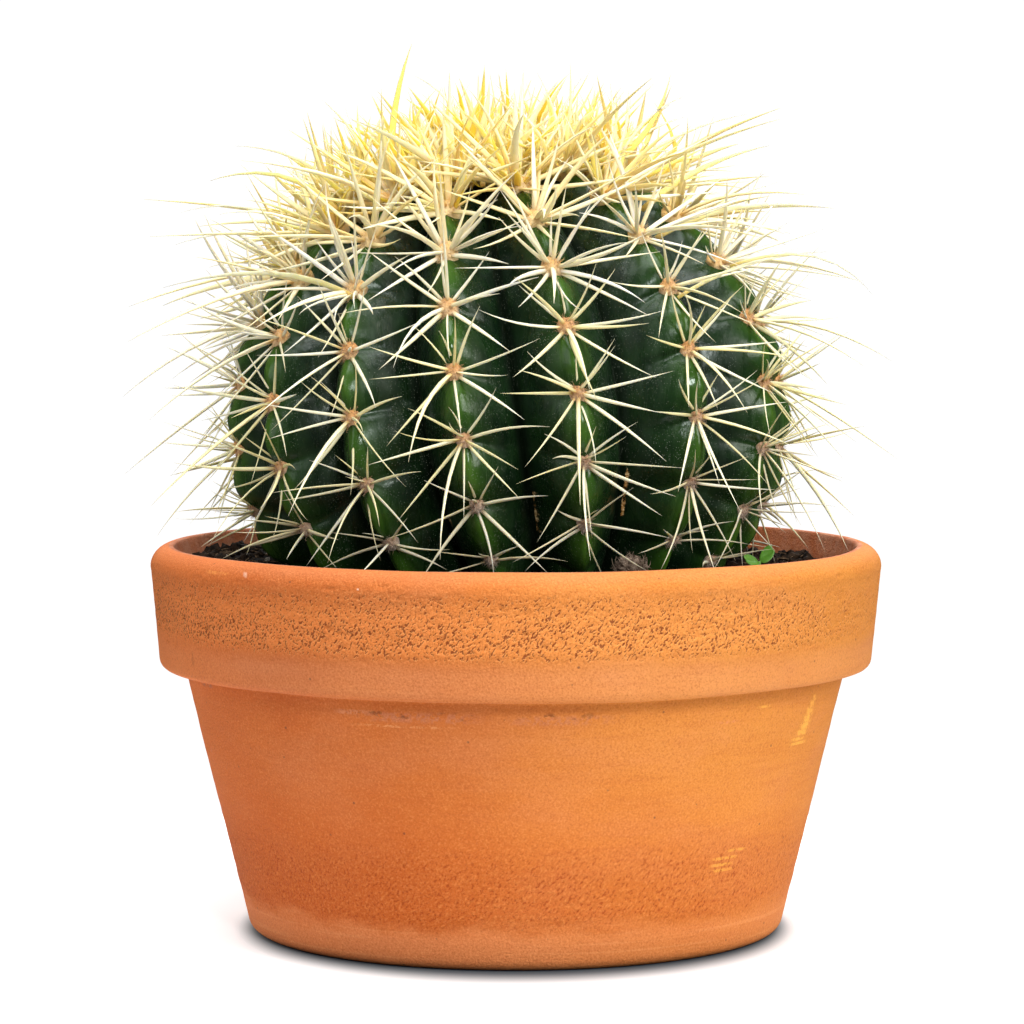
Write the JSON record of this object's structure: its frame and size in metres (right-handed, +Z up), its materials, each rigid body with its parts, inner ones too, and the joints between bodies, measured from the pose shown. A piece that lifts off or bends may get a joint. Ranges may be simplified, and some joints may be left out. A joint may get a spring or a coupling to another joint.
{
  "type": "potted round cactus",
  "caption": "Round ribbed cactus with golden spines and a woolly crown, growing in soil in a terracotta half pot with a banded rim.",
  "frame": {"origin": "middle of the pot's foot, on the surface that it stands on", "axes": "+Z up along the pot's axis, the plant's front faces -Y, +X to the right of someone who faces the front"},
  "size_m": [0.2223, 0.2261, 0.2488],
  "materials": {
    "terracotta": "matte",
    "peat_soil": "matte",
    "cactus_skin": "satin",
    "golden_spines": "matte",
    "fresh_leaf": "satin",
    "dry_fibre": "matte"
  },
  "bodies": {
    "root": {"pot": "terracotta", "soil": "peat_soil", "cactus_stem": "cactus_skin", "cactus_crown": "golden_spines", "seedling": "fresh_leaf", "dry_tuft": "dry_fibre"}
  },
  "joints": []
}
